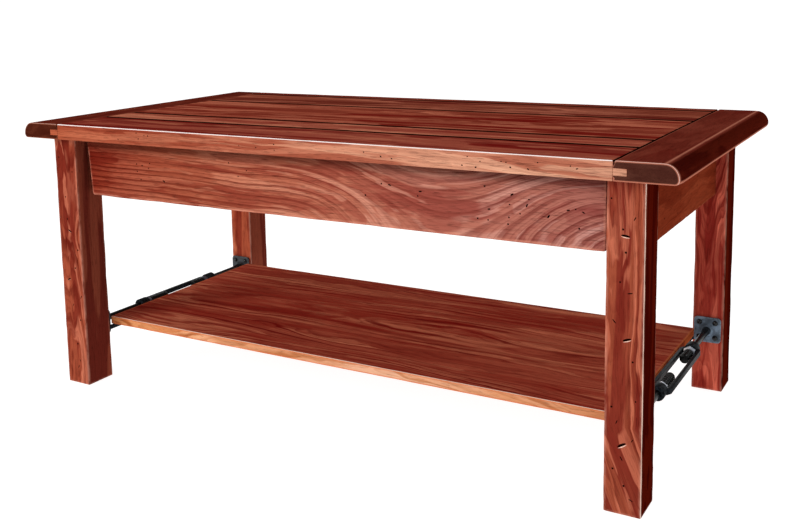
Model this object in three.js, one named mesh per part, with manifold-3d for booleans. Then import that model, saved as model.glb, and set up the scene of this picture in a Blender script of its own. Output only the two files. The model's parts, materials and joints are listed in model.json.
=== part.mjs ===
// Rustic farmhouse lift top coffee table.
// Millimetres, +Z up. Origin on the floor under the middle of the table.
// +X runs along the length to the right end, -Y is the front.
import * as THREE from 'three';
import { mergeVertices } from 'three/addons/utils/BufferGeometryUtils.js';
import Module from 'manifold-3d';

const wasm = await Module();
wasm.setup();

// ---------------------------------------------------------------- dimensions
const LENGTH = 1219;            // breadboard end to breadboard end
const DEPTH = 635;              // front edge to rear edge of the top
const HEIGHT = 508;             // floor to tabletop
const TOP_T = 28.5;             // tabletop thickness
const GAP = 0.3;                // clearance between touching pieces
const X1 = LENGTH / 2, Y1 = DEPTH / 2;
const TOP_Z0 = HEIGHT - TOP_T;  // underside of the top
const BREAD_IN = 520;           // breadboard inner edge, from the centre
const TONGUE_L = 18.4, TONGUE_Z0 = 487.2, TONGUE_Z1 = 497.4;
const GROOVE_Y = [-195, -117, 126, 276];   // V-grooves between the planks
const V = 2.6;                  // V-groove chamfer on each plank edge

const LEG = { x0: 503.6, x1: 558, y0: 229.6, y1: 292.3, top: TOP_Z0 - GAP };
const APRON_T = 20;
const SIDE_APRON = { x: 538, z0: 365 };
const REAR_APRON = { y: 272, z0: 372 };
const FRONT_APRON = { y: -272, z0: 369.8, xr: 497.4, xlTop: -493.5, xlBot: -485, t: 19 };
const FRONT_RAIL = { y0: -249.3, y1: -231.3, z0: 373, z1: 470 };
const FLOOR = { z0: 384, z1: 392 };

const SHELF = { x: 508.5, y: 221, z0: 101.8, z1: 116.7 };

// turnbuckles; the right one sits a little higher than the left one
const TB_Z = { right: 115.5, left: 107 };
const TB = { x: 531, z: 0, plate: 47, plateT: 3, rodR: 5.8, stubR: 8.3,
  bossR: 12, half: 117, holeR: 6.2, barOut: 17, barIn: 11.6 };
const PLATE_Y1 = 226.2;          // back face of the plate, on the hanger tab
const PLATE_Y0 = PLATE_Y1 - TB.plateT;

// lift mechanism
const ARM_L = 220, ARM_A = 10 * Math.PI / 180;
const PIV_Z = 406, FRONT_PIV = -150, REAR_PIV = -10;
const UP_DY = ARM_L * Math.cos(ARM_A), UP_DZ = ARM_L * Math.sin(ARM_A);
const ARM_W = 20, ARM_X0 = 511.2, ARM_X1 = 514.2;
const BASE_X0 = 514.6, BASE_X1 = 517.6, TOPB_X0 = 507.8, TOPB_X1 = 510.8;
const PIN_R = 4, BORE_R = 4.35;
const TUBE_R = 8;

// ---------------------------------------------------------------- helpers
const group = new THREE.Group();
const COL = {
  plank: ['#7d3223', 0.5, 0], bread: ['#54231c', 0.5, 0], leg: ['#96412d', 0.55, 0],
  apron: ['#a54b32', 0.55, 0], shelf: ['#73281e', 0.45, 0], inner: ['#8a5a3c', 0.7, 0],
  iron: ['#1c1f22', 0.45, 0.8], plate: ['#46555f', 0.45, 0.8], zinc: ['#c8d2dc', 0.3, 1],
  lift: ['#25272a', 0.5, 0.8],
};

function solid(geo) {
  const g = geo.clone();
  g.deleteAttribute('normal'); g.deleteAttribute('uv');
  const m = mergeVertices(g, 1e-4);
  const P = m.attributes.position, I = m.index;
  const tv = [];
  let vol = 0;                                // signed volume tells which way the faces point
  for (let i = 0; i < I.count; i += 3) {
    const a = I.getX(i), b = I.getX(i + 1), d = I.getX(i + 2);
    if (a === b || b === d || a === d) continue;
    tv.push(a, b, d);
    vol += P.getX(a) * (P.getY(b) * P.getZ(d) - P.getZ(b) * P.getY(d))
      - P.getY(a) * (P.getX(b) * P.getZ(d) - P.getZ(b) * P.getX(d))
      + P.getZ(a) * (P.getX(b) * P.getY(d) - P.getY(b) * P.getX(d));
  }
  if (vol < 0) for (let i = 0; i < tv.length; i += 3) [tv[i + 1], tv[i + 2]] = [tv[i + 2], tv[i + 1]];
  return new wasm.Manifold(new wasm.Mesh({ numProp: 3,
    vertProperties: new Float32Array(P.array), triVerts: new Uint32Array(tv) }));
}
function toGeo(man) {
  const m = man.getMesh();
  const g = new THREE.BufferGeometry();
  const p = new Float32Array(m.numVert * 3);
  for (let i = 0; i < m.numVert; i++) for (let k = 0; k < 3; k++) p[3 * i + k] = m.vertProperties[i * m.numProp + k];
  g.setAttribute('position', new THREE.BufferAttribute(p, 3));
  g.setIndex(new THREE.BufferAttribute(new Uint32Array(m.triVerts), 1));
  g.computeVertexNormals();
  return g;
}
function add(name, what, kind) {
  const geo = what.isBufferGeometry ? what : toGeo(what);
  const [c, r, m] = COL[kind];
  const mesh = new THREE.Mesh(geo, new THREE.MeshStandardMaterial({ color: c, roughness: r, metalness: m }));
  mesh.name = name;
  group.add(mesh);
  return mesh;
}
const box = (x0, x1, y0, y1, z0, z1) => solid(new THREE.BoxGeometry(x1 - x0, y1 - y0, z1 - z0)
  .translate((x0 + x1) / 2, (y0 + y1) / 2, (z0 + z1) / 2));

// outline points extruded along an axis; outline plane: 'yz' along X, 'xz' along Y, 'xy' along Z
function prism(pts, plane, a, b) {
  const s = new THREE.Shape(pts.map(p => new THREE.Vector2(p[0], p[1])));
  const g = new THREE.ExtrudeGeometry(s, { depth: b - a, bevelEnabled: false, curveSegments: 6 });
  if (plane === 'xy') g.translate(0, 0, a);
  else {
    const p = g.attributes.position;
    for (let i = 0; i < p.count; i++) {
      const u = p.getX(i), v = p.getY(i), w = p.getZ(i) + a;
      if (plane === 'yz') p.setXYZ(i, w, u, v);        // cyclic, keeps the facing
      else p.setXYZ(i, u, b + a - w, v);               // turned over along Y
    }
  }
  return solid(g);
}
function cyl(axis, r, a, b, c1, c2, seg = 20, turn = 0) {
  const g = new THREE.CylinderGeometry(r, r, b - a, seg);
  g.rotateY(turn);
  const mid = (a + b) / 2;
  if (axis === 'x') g.rotateZ(Math.PI / 2).translate(mid, c1, c2);
  else if (axis === 'y') g.translate(c1, mid, c2);
  else g.rotateX(Math.PI / 2).translate(c1, c2, mid);
  return solid(g);
}
// revolved profile [radius, along] about the Y axis
function latheY(prof, cx, cz, seg = 20) {
  return solid(new THREE.LatheGeometry(prof.map(p => new THREE.Vector2(p[0], p[1])), seg).translate(cx, 0, cz));
}
const mirX = g => g.mirror([1, 0, 0]);
const mirY = g => g.mirror([0, 1, 0]);
const arc = (cx, cy, r, a0, a1, n) => Array.from({ length: n + 1 }, (_, i) => {
  const a = (a0 + (a1 - a0) * i / n) * Math.PI / 180;
  return [cx + r * Math.cos(a), cy + r * Math.sin(a)];
});

// ---------------------------------------------------------------- tabletop
// Planks: chamfered long edges make the V-grooves, and a tongue at each end runs into the breadboard.
const bounds = [-Y1, ...GROOVE_Y, Y1];
for (let i = 0; i < 5; i++) {
  const first = i === 0, last = i === 4;
  const y0 = bounds[i] + (first ? 0 : 0.3), y1 = bounds[i + 1] - (last ? 0 : 0.3);
  const c0 = first ? 1.6 : V, c1 = last ? 1.6 : V;
  const section = [[y0, TOP_Z0 + (first ? 1 : 0)], [y0 + (first ? 1 : 0), TOP_Z0], [y1 - (last ? 1 : 0), TOP_Z0], [y1, TOP_Z0 + (last ? 1 : 0)],
    [y1, HEIGHT - c1], [y1 - c1, HEIGHT], [y0 + c0, HEIGHT], [y0, HEIGHT - c0]]
    .filter((p, k, a) => k === 0 || Math.hypot(p[0] - a[k - 1][0], p[1] - a[k - 1][1]) > 0.01);
  if (!first) section.splice(0, 2, [y0, TOP_Z0]);
  const body = prism(section, 'yz', -(BREAD_IN - GAP), BREAD_IN - GAP);
  const tongue = box(-(BREAD_IN + TONGUE_L), BREAD_IN + TONGUE_L, y0, y1, TONGUE_Z0, TONGUE_Z1);
  add(`top_plank_${i + 1}`, body.add(tongue), 'plank');
}
// Breadboard ends: rounded outer edge, full-length groove on the inner edge.
{
  const gz0 = TONGUE_Z0 - GAP, gz1 = TONGUE_Z1 + GAP, gx = BREAD_IN + TONGUE_L + 0.6;
  const R = 21, r = 7;
  const sec = [[BREAD_IN, TOP_Z0], ...arc(X1 - r, TOP_Z0 + r, r, -90, 0, 3), ...arc(X1 - R, HEIGHT - R, R, 0, 90, 6),
    [BREAD_IN + V, HEIGHT], [BREAD_IN, HEIGHT - V], [BREAD_IN, gz1], [gx, gz1], [gx, gz0], [BREAD_IN, gz0]];
  let right = prism(sec, 'xz', -Y1, Y1);
  add('breadboard_right', right, 'bread');
  add('breadboard_left', mirX(right), 'bread');
}

// ---------------------------------------------------------------- legs and fixed frame
const c = 1.8;
const legSec = (x0, x1, y0, y1) => [[x0 + c, y0], [x1 - c, y0], [x1, y0 + c], [x1, y1 - c], [x1 - c, y1], [x0 + c, y1], [x0, y1 - c], [x0, y0 + c]];
const legRB = () => prism(legSec(LEG.x0, LEG.x1, LEG.y0, LEG.y1), 'xy', 0, LEG.top);
add('leg_rear_right', legRB(), 'leg');
add('leg_rear_left', mirX(legRB()), 'leg');
add('leg_front_right', mirY(legRB()), 'leg');
add('leg_front_left', mirX(mirY(legRB())), 'leg');

const sideApron = () => box(SIDE_APRON.x - APRON_T, SIDE_APRON.x, -(LEG.y0 - GAP), LEG.y0 - GAP, SIDE_APRON.z0, LEG.top);
add('side_apron_right', sideApron(), 'apron');
add('side_apron_left', mirX(sideApron()), 'apron');
add('rear_apron', box(-(LEG.x0 - GAP), LEG.x0 - GAP, REAR_APRON.y - APRON_T, REAR_APRON.y, REAR_APRON.z0, LEG.top), 'apron');
add('inner_front_rail', box(-(LEG.x0 - GAP), LEG.x0 - GAP, FRONT_RAIL.y0, FRONT_RAIL.y1, FRONT_RAIL.z0, FRONT_RAIL.z1), 'inner');

// Compartment floor: wider between the legs, on two cleats.
{
  const fy0 = FRONT_RAIL.y1 + GAP, fy1 = REAR_APRON.y - APRON_T - GAP, fx = LEG.x0 - GAP, wx = SIDE_APRON.x - APRON_T - GAP, wy = LEG.y0 - GAP;
  add('compartment_floor', prism([[-fx, fy0], [fx, fy0], [fx, -wy], [wx, -wy], [wx, wy], [fx, wy], [fx, fy1], [-fx, fy1], [-fx, wy], [-wx, wy], [-wx, -wy], [-fx, -wy]],
    'xy', FLOOR.z0, FLOOR.z1), 'inner');
  add('floor_cleat_front', box(-480, 480, fy0, fy0 + 16, FLOOR.z0 - GAP - 10.5, FLOOR.z0 - GAP), 'inner');
  add('floor_cleat_rear', box(-480, 480, fy1 - 16, fy1, FLOOR.z0 - GAP - 10.5, FLOOR.z0 - GAP), 'inner');
}

// Front apron: fastened to the underside of the top, so it lifts with it.
// Its left end is cut at a slant and its lower corners are rounded.
{
  const a = FRONT_APRON, zt = TOP_Z0 - GAP;
  const pts = [[a.xlBot + 7, a.z0], ...arc(a.xr - 6, a.z0 + 6, 6, -90, 0, 3), [a.xr, zt], [a.xlTop, zt], [a.xlBot - 0.55, a.z0 + 6.5], [a.xlBot + 1.6, a.z0 + 1.9]];
  add('front_apron', prism(pts, 'xz', a.y, a.y + a.t), 'apron');
}

// ---------------------------------------------------------------- lower shelf and its hangers
add('lower_shelf', prism([[-SHELF.x, -SHELF.y], [SHELF.x, -SHELF.y], [SHELF.x, SHELF.y], [-SHELF.x, SHELF.y]], 'xy', SHELF.z0, SHELF.z1), 'shelf');
{
  // steel angle under each shelf end; its end tabs lie between the legs and the turnbuckle plates
  const zt = SHELF.z0 - GAP, x0 = 502.4, x1 = 505.4;
  const hanger = tz => {
    let h = box(480, x1, -205, 205, zt - 2.7, zt).add(box(x0, x1, -229.3, 229.3, 93, zt));
    const tab = box(x0, 512, 226.5, 229.3, 93, zt).add(box(509.5, 552.5, 226.5, 229.3, tz - 21.7, tz + 21.7));
    return h.add(tab).add(mirY(tab));
  };
  add('shelf_hanger_right', hanger(TB_Z.right), 'iron');
  add('shelf_hanger_left', mirX(hanger(TB_Z.left)), 'iron');
}

// ---------------------------------------------------------------- turnbuckles
function plateR() {           // right rear: rounded square plate, four domed screws, a short collar for the rod
  const q = TB.plate / 2, r = 6.5, cx = TB.x, cz = TB.z;
  const pts = [...arc(cx + q - r, cz - q + r, r, -90, 0, 3), ...arc(cx + q - r, cz + q - r, r, 0, 90, 3),
    ...arc(cx - q + r, cz + q - r, r, 90, 180, 3), ...arc(cx - q + r, cz - q + r, r, 180, 270, 3)];
  let p = prism(pts, 'xz', PLATE_Y0, PLATE_Y1);
  for (const sx of [-1, 1]) for (const sz of [-1, 1])
    p = p.add(latheY([[0, PLATE_Y0 + 0.5], [4.9, PLATE_Y0 + 0.5], [4.9, PLATE_Y0], [4.6, PLATE_Y0 - 1.0], [2.6, PLATE_Y0 - 2.7], [0, PLATE_Y0 - 3.2]], cx + sx * 13.8, cz + sz * 13.8, 12));
  p = p.add(latheY([[0, PLATE_Y0 + 0.5], [11, PLATE_Y0 + 0.5], [11, PLATE_Y0], [9, PLATE_Y0 - 5], [0, PLATE_Y0 - 5]], cx, cz, 20));
  return p.subtract(cyl('y', TB.rodR + GAP, PLATE_Y0 - 6, PLATE_Y0 + 1.2, cx, cz, 20));
}
function rodR(inner) {        // plain rod from the plate to the body, thicker threaded end inside the body
  const a = PLATE_Y0 + 0.9, b = TB.half - 24;
  return latheY([[0, inner], [TB.stubR - 1.6, inner], [TB.stubR, inner + 2.2], [TB.stubR, b - 9], [TB.rodR, b - 8], [TB.rodR, a], [0, a]], TB.x, TB.z, 20);
}
function nutR() {             // six-sided nut between the thick end and the boss
  return cyl('y', 10.6, 86.2, 94.8, TB.x, TB.z, 6, Math.PI / 6).subtract(cyl('y', TB.rodR + GAP, 80, 100, TB.x, TB.z, 20));
}
function bodyR() {            // two bars joining two bosses
  const H = TB.half, x = TB.x;
  const out = [[-TB.barOut, -96], [-TB.barOut, 96], [-12.5, 104], [12.5, 104], [TB.barOut, 96], [TB.barOut, -96], [12.5, -104], [-12.5, -104]].reverse();
  let b = prism(out.map(p => [p[0] + x, p[1]]), 'xy', TB.z - 4.6, TB.z + 4.6);
  for (const s of [-1, 1]) b = b.add(cyl('y', TB.bossR, s > 0 ? 96 : -H, s > 0 ? H : -96, x, TB.z, 20));
  b = b.subtract(box(x - TB.barIn, x + TB.barIn, -96, 96, TB.z - 14, TB.z + 14));
  return b.subtract(cyl('y', TB.holeR, -H - 1, H + 1, x, TB.z, 20));
}
for (const [sx, side] of [[1, 'right'], [-1, 'left']]) {
  const fx = g => (sx > 0 ? g : mirX(g)).translate([0, 0, TB_Z[side]]);
  add(`turnbuckle_plate_${side}_rear`, fx(plateR()), 'plate');
  add(`turnbuckle_plate_${side}_front`, fx(mirY(plateR())), 'plate');
  add(`turnbuckle_rod_${side}_rear`, fx(rodR(52)), 'iron');
  add(`turnbuckle_rod_${side}_front`, fx(mirY(rodR(35))), 'iron');
  add(`turnbuckle_nut_${side}_rear`, fx(nutR()), 'zinc');
  add(`turnbuckle_nut_${side}_front`, fx(mirY(nutR())), 'zinc');
  add(`turnbuckle_body_${side}`, fx(bodyR()), 'iron');
}

// ---------------------------------------------------------------- lift mechanism
// Four equal parallel arms. Both rear arms are welded to one torque tube, so the two sides lift together.
function armOutline(py, reach) {     // stadium from pivot to pivot, in the YZ plane
  const uy = Math.cos(ARM_A), uz = Math.sin(ARM_A), deg = ARM_A * 180 / Math.PI, r = ARM_W / 2;
  return [...arc(py + reach * uy, PIV_Z + reach * uz, r, deg - 90, deg + 90, 8), ...arc(py, PIV_Z, r, deg + 90, deg + 270, 8)];
}
function armR(py) {
  return prism(armOutline(py, ARM_L), 'yz', ARM_X0, ARM_X1)
    .subtract(cyl('x', BORE_R, ARM_X0 - 2, ARM_X1 + 2, py, PIV_Z, 20))
    .subtract(cyl('x', BORE_R, ARM_X0 - 2, ARM_X1 + 2, py + UP_DY, PIV_Z + UP_DZ, 20));
}
// base bracket: low plate on the side apron, with a foot on the compartment floor
function baseR() {
  const z0 = FLOOR.z1 + GAP;
  let b = prism([[-175, z0], [30, z0], [30, 412], [22, 420], [-167, 420], [-175, 412]], 'yz', BASE_X0, BASE_X1);
  b = b.add(box(492, BASE_X1, -175, -30, z0, z0 + 2.4)).subtract(box(491, 498, -130, -80, z0 - 1, z0 + 3));
  for (const py of [FRONT_PIV, REAR_PIV]) b = b.subtract(cyl('x', BORE_R, BASE_X0 - 2, BASE_X1 + 2, py, PIV_Z, 20));
  return b;
}
// lower pin: shank through arm and bracket, head on the inner side
const pinLowR = py => cyl('x', PIN_R, ARM_X0 - 0.5, BASE_X1 - 0.2, py, PIV_Z, 20).add(cyl('x', 7, ARM_X0 - 2.8, ARM_X0 - 0.4, py, PIV_Z, 20));
// upper pin: shank through top bracket and arm, head on the outer side
const pinUpR = py => cyl('x', PIN_R, TOPB_X0 - 1.8, ARM_X1 + 0.5, py + UP_DY, PIV_Z + UP_DZ, 20).add(cyl('x', 7, ARM_X1 + 0.4, ARM_X1 + 2.8, py + UP_DY, PIV_Z + UP_DZ, 20));
// top bracket: rail under the top, with a flange screwed to the planks
function topR() {
  const yA = FRONT_PIV + UP_DY, yB = REAR_PIV + UP_DY, z = PIV_Z + UP_DZ, zt = TOP_Z0 - GAP;
  let b = prism([[yA - 14, zt], [yA - 14, z - 2], [yA - 6, z - 12], [yB + 6, z - 12], [yB + 14, z - 2], [yB + 14, zt]], 'yz', TOPB_X0, TOPB_X1);
  b = b.add(box(480, TOPB_X1, yA - 44, yB + 14, zt - 2.6, zt));
  for (const py of [yA, yB]) b = b.subtract(cyl('x', BORE_R, TOPB_X0 - 2, TOPB_X1 + 2, py, z, 20));
  return b;
}
// torsion spring wound round the torque tube; its fixed leg hooks down on the floor foot
function springR() {
  const r = 13.2, turns = 5, pts = [];
  const x0 = 468, pitch = 4.6;
  for (let i = 0; i <= turns * 14; i++) {
    const t = i / 14, a = -Math.PI / 2 + t * 2 * Math.PI;
    pts.push(new THREE.Vector3(x0 + pitch * t, REAR_PIV + r * Math.cos(a), PIV_Z + 1.5 + r * Math.sin(a)));
  }
  const g = new THREE.ExtrudeGeometry(new THREE.Shape(arc(0, 0, 1.7, 0, 315, 7).map(p => new THREE.Vector2(...p))),
    { steps: turns * 14, extrudePath: new THREE.CatmullRomCurve3(pts), bevelEnabled: false });
  return solid(g);
}
for (const [sx, side] of [[1, 'right'], [-1, 'left']]) {
  const fx = g => (sx > 0 ? g : mirX(g));
  add(`lift_base_bracket_${side}`, fx(baseR()), 'lift');
  add(`lift_front_arm_${side}`, fx(armR(FRONT_PIV)), 'lift');
  add(`lift_rear_arm_${side}`, fx(armR(REAR_PIV)), 'lift');
  add(`lift_top_bracket_${side}`, fx(topR()), 'lift');
  add(`lift_front_lower_pin_${side}`, fx(pinLowR(FRONT_PIV)), 'zinc');
  add(`lift_rear_lower_pin_${side}`, fx(pinLowR(REAR_PIV)), 'zinc');
  add(`lift_front_upper_pin_${side}`, fx(pinUpR(FRONT_PIV)), 'zinc');
  add(`lift_rear_upper_pin_${side}`, fx(pinUpR(REAR_PIV)), 'zinc');
  add(`lift_spring_${side}`, fx(springR()), 'lift');
}
// torque tube between the two rear arms, hollow at its ends for the pin heads
{
  const e = ARM_X0 - GAP;
  let t = cyl('x', TUBE_R + 1, -e, e, REAR_PIV, PIV_Z, 20);
  for (const s of [-1, 1]) t = t.subtract(cyl('x', 7.4, s > 0 ? e - 4 : -e - 1, s > 0 ? e + 1 : -e + 4, REAR_PIV, PIV_Z, 20));
  add('lift_torque_tube', t, 'lift');
}

export default group;
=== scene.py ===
import json
import math
import random

import bmesh
import bpy
from mathutils import Matrix, Vector, noise

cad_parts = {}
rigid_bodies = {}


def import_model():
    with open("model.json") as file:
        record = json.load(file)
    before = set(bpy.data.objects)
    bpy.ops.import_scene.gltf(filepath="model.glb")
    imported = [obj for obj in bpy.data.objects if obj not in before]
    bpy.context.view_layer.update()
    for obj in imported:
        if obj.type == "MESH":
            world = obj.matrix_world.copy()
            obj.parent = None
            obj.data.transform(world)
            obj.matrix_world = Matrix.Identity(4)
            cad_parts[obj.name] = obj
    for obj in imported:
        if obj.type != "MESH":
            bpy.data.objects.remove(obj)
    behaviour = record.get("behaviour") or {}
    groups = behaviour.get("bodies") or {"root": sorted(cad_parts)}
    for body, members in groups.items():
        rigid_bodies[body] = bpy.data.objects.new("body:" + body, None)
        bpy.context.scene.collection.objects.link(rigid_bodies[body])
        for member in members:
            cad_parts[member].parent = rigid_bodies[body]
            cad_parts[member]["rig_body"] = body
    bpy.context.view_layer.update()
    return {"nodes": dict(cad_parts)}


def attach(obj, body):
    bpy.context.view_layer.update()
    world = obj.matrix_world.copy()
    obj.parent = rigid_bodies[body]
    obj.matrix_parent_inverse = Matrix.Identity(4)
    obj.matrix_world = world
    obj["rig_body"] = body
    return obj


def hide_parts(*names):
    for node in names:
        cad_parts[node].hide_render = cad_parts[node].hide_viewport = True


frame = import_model()
scene = bpy.context.scene
NODES = frame["nodes"]
MM = 0.001

# ------------------------------------------------------------------ camera
F, CX, CY, W, H = 1024.6144, 359.4711, 140.9976, 795, 532
PITCH, ROLL, YAW = -0.1419, -0.0223, 0.5438
_cz, _sz, _cx, _sx, _cy, _sy = math.cos(YAW), math.sin(YAW), math.cos(PITCH), math.sin(PITCH), math.cos(ROLL), math.sin(ROLL)
fwd = Vector((-_sz * _cx, _cz * _cx, _sx))
right = Vector((_cz, _sz, 0.0))
up = right.cross(fwd)
right, up = right * _cy + up * _sy, -right * _sy + up * _cy
cam_data = bpy.data.cameras.new("camera")
cam = bpy.data.objects.new("camera", cam_data)
scene.collection.objects.link(cam)
cam.matrix_world = Matrix((
    (right.x, up.x, -fwd.x, 0.9241365),
    (right.y, up.y, -fwd.y, -1.6312981),
    (right.z, up.z, -fwd.z, 0.7316482),
    (0, 0, 0, 1)))
cam_data.sensor_fit = "HORIZONTAL"
cam_data.sensor_width = 36
cam_data.lens = F * 36 / W
cam_data.shift_x = (W / 2 - CX) / W
cam_data.shift_y = (CY - H / 2) / W
cam_data.clip_start, cam_data.clip_end = 0.05, 2000
scene.camera = cam

# ------------------------------------------------------------------ node helpers


def lin(rgb):
    """8-bit sRGB to linear RGBA."""
    out = []
    for c in rgb:
        c = c / 255
        out.append(c / 12.92 if c <= 0.04045 else ((c + 0.055) / 1.055) ** 2.4)
    return (*out, 1.0)


class Net:
    """Small helper that adds shader nodes to one material."""

    def __init__(self, name):
        self.mat = bpy.data.materials.new(name)
        self.mat.use_nodes = True
        self.t = self.mat.node_tree
        self.bsdf = self.t.nodes["Principled BSDF"]

    def link(self, a, b):
        self.t.links.new(a, b)

    def put(self, sock, v):
        if isinstance(v, bpy.types.NodeSocket):
            self.link(v, sock)
        else:
            sock.default_value = v

    def math(self, op, a, b=None, c=None, clamp=False):
        n = self.t.nodes.new("ShaderNodeMath")
        n.operation, n.use_clamp = op, clamp
        for i, v in enumerate((a, b, c)):
            if v is not None:
                self.put(n.inputs[i], v)
        return n.outputs[0]

    def vec(self, op, a, b=None):
        n = self.t.nodes.new("ShaderNodeVectorMath")
        n.operation = op
        self.put(n.inputs[0], a)
        if b is not None:
            self.put(n.inputs[1], b)
        return n.outputs["Value"] if op in ("LENGTH", "DOT_PRODUCT", "DISTANCE") else n.outputs[0]

    def xyz(self, x, y, z):
        n = self.t.nodes.new("ShaderNodeCombineXYZ")
        for i, v in enumerate((x, y, z)):
            self.put(n.inputs[i], v)
        return n.outputs[0]

    def split(self, v):
        n = self.t.nodes.new("ShaderNodeSeparateXYZ")
        self.put(n.inputs[0], v)
        return n.outputs[0], n.outputs[1], n.outputs[2]

    def noise(self, vec, scale=1.0, detail=2.0, rough=0.5, color=False, distortion=0.0):
        n = self.t.nodes.new("ShaderNodeTexNoise")
        self.put(n.inputs["Vector"], vec)
        n.inputs["Scale"].default_value = scale
        n.inputs["Detail"].default_value = detail
        n.inputs["Roughness"].default_value = rough
        n.inputs["Distortion"].default_value = distortion
        return n.outputs["Color" if color else "Fac"]

    def ramp(self, fac, stops, mode="LINEAR"):
        n = self.t.nodes.new("ShaderNodeValToRGB")
        self.put(n.inputs[0], fac)
        cr = n.color_ramp
        cr.interpolation = mode
        while len(cr.elements) < len(stops):
            cr.elements.new(0.5)
        for e, (p, c) in zip(cr.elements, stops):
            e.position = p
            e.color = c if not isinstance(c, (int, float)) else (c, c, c, 1)
        return n.outputs[0]

    def smooth(self, v, a, b):
        n = self.t.nodes.new("ShaderNodeMapRange")
        n.interpolation_type = "SMOOTHSTEP"
        self.put(n.inputs[0], v)
        n.inputs[1].default_value, n.inputs[2].default_value = a, b
        n.inputs[3].default_value, n.inputs[4].default_value = 0, 1
        return n.outputs[0]

    def mix(self, fac, a, b, blend="MIX"):
        n = self.t.nodes.new("ShaderNodeMix")
        n.data_type, n.blend_type = "RGBA", blend
        n.clamp_factor = True
        self.put(n.inputs[0], fac)
        self.put(n.inputs[6], a)
        self.put(n.inputs[7], b)
        return n.outputs[2]

    def attr(self, name):
        n = self.t.nodes.new("ShaderNodeAttribute")
        n.attribute_name = name
        return n.outputs["Fac"]

    def bump(self, height, dist, strength=1.0):
        n = self.t.nodes.new("ShaderNodeBump")
        n.inputs["Strength"].default_value = strength
        n.inputs["Distance"].default_value = dist
        self.put(n.inputs["Height"], height)
        self.link(n.outputs[0], self.bsdf.inputs["Normal"])


def coords(n, grain, off):
    """Object coordinates in metres with the grain direction first."""
    tc = n.t.nodes.new("ShaderNodeTexCoord")
    x, y, z = n.split(tc.outputs["Object"])
    a, b, c = {"x": (x, y, z), "y": (y, x, z), "z": (z, x, y)}[grain]
    return tc, (x, y, z), n.vec("ADD", n.xyz(a, b, c), off)


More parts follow.
